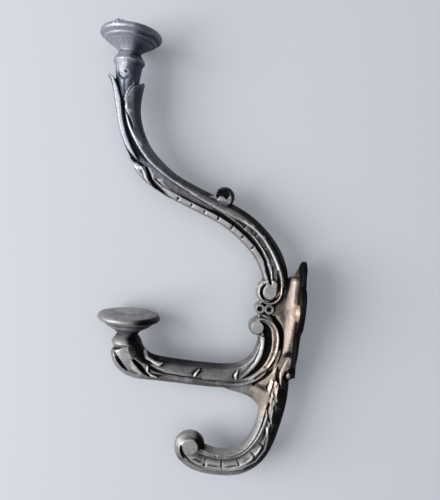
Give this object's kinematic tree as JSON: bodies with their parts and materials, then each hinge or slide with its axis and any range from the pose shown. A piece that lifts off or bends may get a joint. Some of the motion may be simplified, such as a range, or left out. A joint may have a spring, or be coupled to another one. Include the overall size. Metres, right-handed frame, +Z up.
{
  "type": "coat hook",
  "caption": "Cast coat hook with a scrolled upper arm and a middle arm that end in mushroom knobs, a lower curled hook and a small wall plate.",
  "frame": {"origin": "on the back face of the plate, midway between the two screw holes", "axes": "+X across the hook, along the line of the screws; +Y into the wall; +Z up. The hook stands out towards -Y."},
  "size_m": [0.0334, 0.1186, 0.2307],
  "materials": {
    "coat_hook": "old bare casting, dark grey, with worn edges and a trace of rust on the plate"
  },
  "bodies": {
    "root": {"coat_hook": "coat_hook"}
  },
  "joints": []
}
